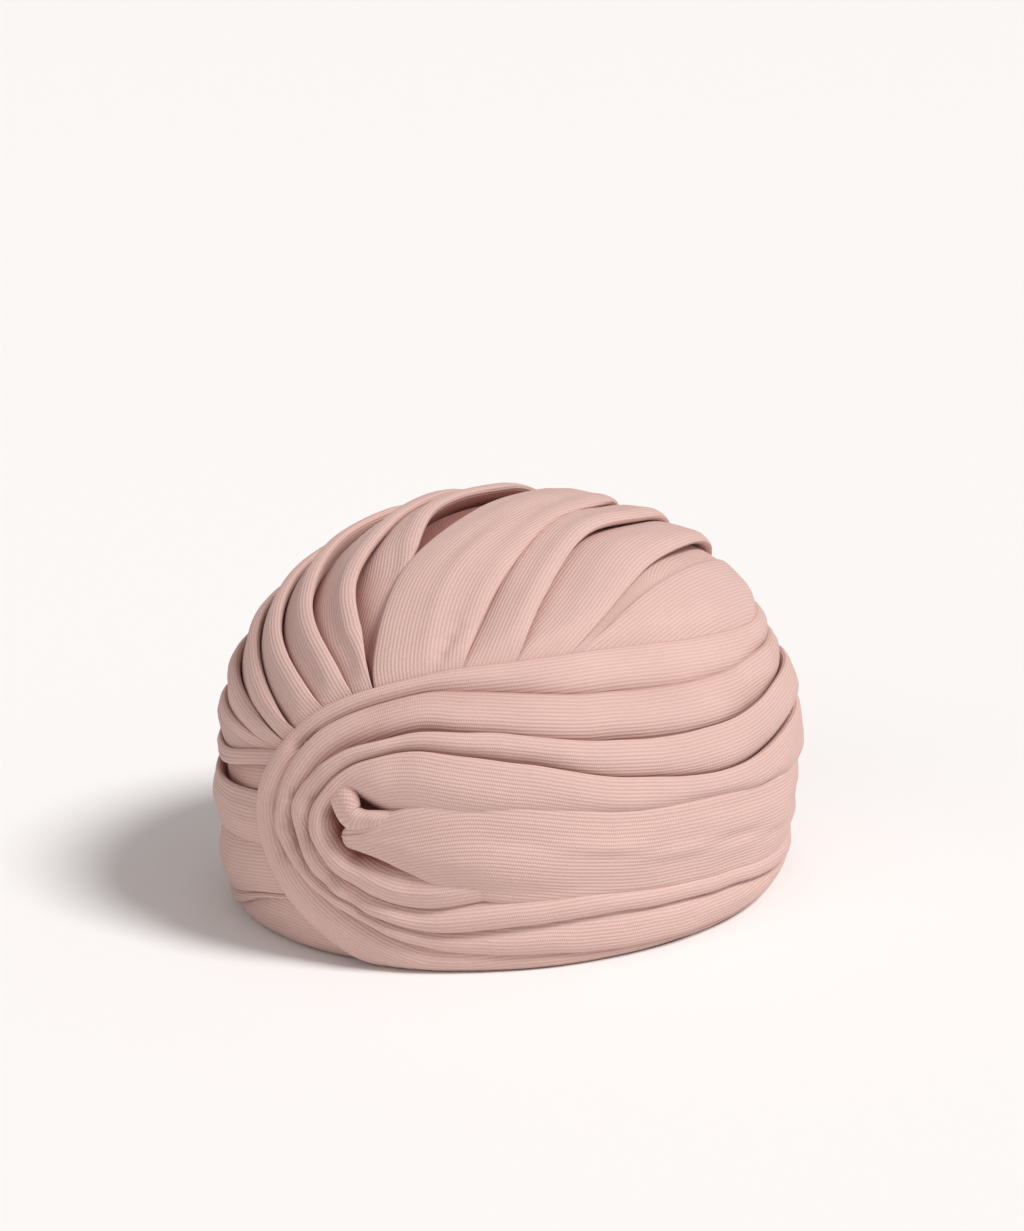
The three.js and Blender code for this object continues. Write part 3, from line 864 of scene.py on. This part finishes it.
def make_broad():
    """The broad fold, from a rounded tip beside the eye to the centre back."""
    middles = (np.array(BROAD_UPPER) + np.array(BROAD_LOWER)) / 2
    steps, run = even_steps(direction(BROAD_AZIMUTHS, middles), STEP)
    along = np.arange(TIP_RUN[-1] + STEP, run[-1] - 0.4 * STEP, STEP)
    places = np.concatenate([TIP_RUN, along, run[-1:]])
    steps, run = np.interp(places, run, steps), places
    upper = run_through(direction(BROAD_AZIMUTHS, BROAD_UPPER), steps)
    lower = run_through(direction(BROAD_AZIMUTHS, BROAD_LOWER), steps)
    edge, belly = value_at(BROAD_EDGE, steps), value_at(BROAD_BELLY, steps)
    tip = np.sqrt(np.clip(1 - (1 - np.clip(run / 4, 0, 1)) ** 2, 0.002, 1))
    middle = between(upper, lower, 0.5 + 0 * run)
    upper, lower = between(middle, upper, tip), between(middle, lower, tip)
    edge, belly = edge - 3 * (1 - tip), belly - 3 * (1 - tip)
    edge, belly = pinched(edge, run[-1] - run), pinched(belly, run[-1] - run)
    return cushion_piece("broad_fold", upper, lower, edge, belly, run, BACKING + 0.3, 51, 0.9)


def make_twist():
    """A soft strand that runs down and then across the eye, with ribs slanting round it."""
    stations = direction(*np.transpose(TWIST_PATH))
    steps, run = even_steps(stations, TWIST_STEP)
    path = run_through(stations, steps)
    middle = place(path, value_at(TWIST_HEIGHT, steps))
    outward = unit(place(path, 0 * run + 1) - place(path, 0 * run))
    aside = unit(np.cross(np.gradient(middle, axis=0), outward))
    width, thick = value_at(TWIST_HALF_WIDTH, steps), value_at(TWIST_HALF_THICKNESS, steps)
    turn = 2 * np.pi * np.arange(TWIST_SIDES) / TWIST_SIDES
    waist = 1 - 0.16 * np.exp(-((np.sin(turn - 1.2) / 0.4) ** 2))
    across = (width[:, None] * (np.cos(turn) * waist)[None, :])[..., None] * aside[:, None, :]
    up = (thick[:, None] * (np.sin(turn) * waist)[None, :])[..., None] * outward[:, None, :]
    points = middle[:, None, :] + across + up
    weave = np.zeros(points.shape)
    weave[..., 0] = 3.2 * turn[None, :]
    weave[..., 1] = run[:, None] + 1.6 * np.sin(turn)[None, :] + 1.8 * np.cos(turn)[None, :]
    return mesh_object("twist_strand", points, tube_faces(points), weave)


# Cloth colours, and the spacing of the twill's ribs in millimetres
RIB = 1.3
DOT = 0.75
RIB_DRIFT = 1.6
# Painted shade: a dark red mixed into the cloth where it lies deep in a crease
PAINTED_CREASE_SHADE_COLOUR = (0.3, 0.105, 0.085, 1)
TWILL = {
    "crown_twill": ((0.78, 0.56, 0.51, 1), (0.50, 0.31, 0.27, 1)),
    "wrap_twill": ((0.78, 0.56, 0.51, 1), (0.50, 0.31, 0.27, 1)),
    "band_twill": ((0.76, 0.54, 0.49, 1), (0.48, 0.30, 0.26, 1)),
    "twist_twill": ((0.78, 0.56, 0.51, 1), (0.50, 0.31, 0.27, 1)),
}


def twill_material(slot):
    """Twill cloth: ribs along each fold, fine dots across them, slow colour changes, painted shade in the
    creases and a soft sheen.
    """
    ridge, groove = TWILL[slot]
    material = bpy.data.materials.new(slot)
    material.use_nodes = True
    tree = material.node_tree
    nodes, links = tree.nodes, tree.links
    shader = nodes["Principled BSDF"]
    shader.inputs["Roughness"].default_value = 0.85
    shader.inputs["Specular IOR Level"].default_value = 0.12
    shader.inputs["Sheen Weight"].default_value = 0.15
    shader.inputs["Sheen Roughness"].default_value = 0.45
    shader.inputs["Sheen Tint"].default_value = (1, 0.86, 0.82, 1)

    def math_node(operation, a, b=None, c=None):
        node = nodes.new("ShaderNodeMath")
        node.operation = operation
        for k, value in enumerate((a, b, c)):
            if isinstance(value, (int, float)):
                node.inputs[k].default_value = value
            elif value is not None:
                links.new(value, node.inputs[k])
        return node.outputs[0]

    cloth = nodes.new("ShaderNodeAttribute")
    cloth.attribute_name = "weave"
    split = nodes.new("ShaderNodeSeparateXYZ")
    links.new(cloth.outputs["Vector"], split.inputs[0])
    along, across, painted_shade = split.outputs[0], split.outputs[1], split.outputs[2]

    position = nodes.new("ShaderNodeTexCoord").outputs["Object"]

    def noise(scale, detail):
        node = nodes.new("ShaderNodeTexNoise")
        node.inputs["Scale"].default_value = scale
        node.inputs["Detail"].default_value = detail
        links.new(position, node.inputs["Vector"])
        return node.outputs["Fac"]

    slow = noise(scale=28, detail=3)
    fine = noise(scale=900, detail=2)
    drift = math_node("MULTIPLY_ADD", slow, RIB_DRIFT, across)
    rib = math_node("COSINE", math_node("MULTIPLY", drift, 2 * math.pi / RIB))
    rib = math_node("MULTIPLY_ADD", rib, 0.5, 0.5)
    slant = math_node("MULTIPLY_ADD", drift, 0.5 / RIB, math_node("MULTIPLY", along, 1 / DOT))
    dot = math_node("COSINE", math_node("MULTIPLY", slant, 2 * math.pi))
    dot = math_node("MULTIPLY_ADD", dot, 0.5, 0.5)
    low_ribs = math_node("MULTIPLY", rib, 0.35)
    relief = math_node("MULTIPLY_ADD", math_node("MULTIPLY", rib, dot), 0.6, low_ribs)
    relief = math_node("MULTIPLY_ADD", fine, 0.4, relief)

    bump = nodes.new("ShaderNodeBump")
    bump.inputs["Strength"].default_value = 0.5
    bump.inputs["Distance"].default_value = 0.0004
    links.new(relief, bump.inputs["Height"])
    links.new(bump.outputs["Normal"], shader.inputs["Normal"])

    mix = nodes.new("ShaderNodeMix")
    mix.data_type = "RGBA"
    mix.inputs["A"].default_value = groove
    mix.inputs["B"].default_value = ridge
    links.new(math_node("MULTIPLY_ADD", relief, 0.6, 0.22), mix.inputs["Factor"])
    # Painted shade: dark red is mixed in by how deep the cloth lies in its crease
    painted_shade_mix = nodes.new("ShaderNodeMix")
    painted_shade_mix.data_type = "RGBA"
    painted_shade_mix.inputs["B"].default_value = PAINTED_CREASE_SHADE_COLOUR
    links.new(painted_shade, painted_shade_mix.inputs["Factor"])
    links.new(mix.outputs["Result"], painted_shade_mix.inputs["A"])
    tone = nodes.new("ShaderNodeHueSaturation")
    links.new(painted_shade_mix.outputs["Result"], tone.inputs["Color"])
    links.new(math_node("MULTIPLY_ADD", slow, 0.16, 0.92), tone.inputs["Value"])
    links.new(tone.outputs["Color"], shader.inputs["Base Color"])
    return material


def dress(piece, node, slot):
    """Gives a piece its cloth, hangs it on the root body and hides the solid it stands for."""
    piece.data.materials.append(materials[slot])
    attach(piece, "root")
    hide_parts(node)
    return piece


materials = {slot: twill_material(slot) for slot in TWILL}
crown = dress(make_crown(), "crown_drape", "crown_twill")
wrap = dress(make_wrap(), "front_wrap", "wrap_twill")
broad = dress(make_broad(), "front_wrap", "wrap_twill")
band = dress(make_band(), "side_band", "band_twill")
twist = dress(make_twist(), "centre_twist", "twist_twill")


def make_floor():
    """A plain pale floor."""
    bpy.ops.mesh.primitive_plane_add(size=60, location=(0, 0, 0))
    floor = bpy.context.object
    floor.name = "floor"
    material = bpy.data.materials.new("floor_white")
    material.use_nodes = True
    shader = material.node_tree.nodes["Principled BSDF"]
    shader.inputs["Base Color"].default_value = (0.9, 0.9, 0.9, 1)
    shader.inputs["Roughness"].default_value = 0.9
    shader.inputs["Specular IOR Level"].default_value = 0.1
    floor.data.materials.append(material)


def sun_light(name, azimuth, elevation, angle, strength):
    """A soft far light that keeps the floor evenly lit."""
    data = bpy.data.lights.new(name, "SUN")
    data.angle = math.radians(angle)
    data.energy = strength
    data.color = (1, 0.99, 0.98)
    light = bpy.data.objects.new(name, data)
    bpy.context.scene.collection.objects.link(light)
    a, e = math.radians(azimuth), math.radians(elevation)
    back = Vector((math.sin(a) * math.cos(e), -math.cos(a) * math.cos(e), math.sin(e)))
    light.location = back * 2
    light.rotation_mode = "QUATERNION"
    light.rotation_quaternion = back.to_track_quat("Z", "Y")


make_floor()
sun_light("key", azimuth=101, elevation=50, angle=18, strength=2.65)
sun_light("fill", azimuth=5, elevation=16, angle=60, strength=0.5)

world = bpy.data.worlds.new("studio")
bpy.context.scene.world = world
world.use_nodes = True
world.node_tree.nodes["Background"].inputs["Color"].default_value = (1, 0.93, 0.91, 1)
world.node_tree.nodes["Background"].inputs["Strength"].default_value = 0.4
bpy.context.scene.view_settings.view_transform = "Standard"
